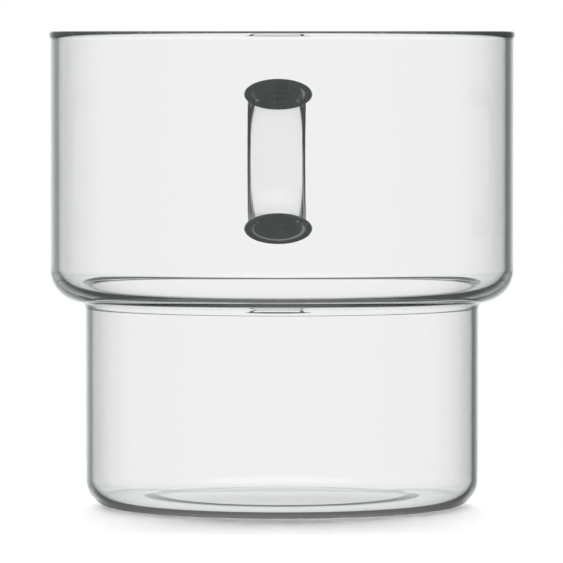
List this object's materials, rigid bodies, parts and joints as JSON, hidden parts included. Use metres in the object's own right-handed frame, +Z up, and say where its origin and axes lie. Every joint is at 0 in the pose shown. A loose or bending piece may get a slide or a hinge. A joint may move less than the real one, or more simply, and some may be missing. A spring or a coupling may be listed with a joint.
{
  "type": "stepped drinking glass with handle",
  "caption": "Clear blown drinking glass with a wide upper bowl over a narrower lower bowl and a bent flat-rod glass handle fused to its side.",
  "frame": {"origin": "on the cup's axis, in the plane of the base ring that the glass stands on", "axes": "+Z up along the cup's axis, +Y from the axis towards the handle, +X to the right when the handle points away from the viewer"},
  "size_m": [0.0784, 0.1012, 0.08],
  "materials": {
    "cup_glass": "clear, fire polished",
    "handle_glass": "clear, fire polished"
  },
  "bodies": {
    "root": {"cup_body": "cup_glass", "handle": "handle_glass"}
  },
  "joints": []
}
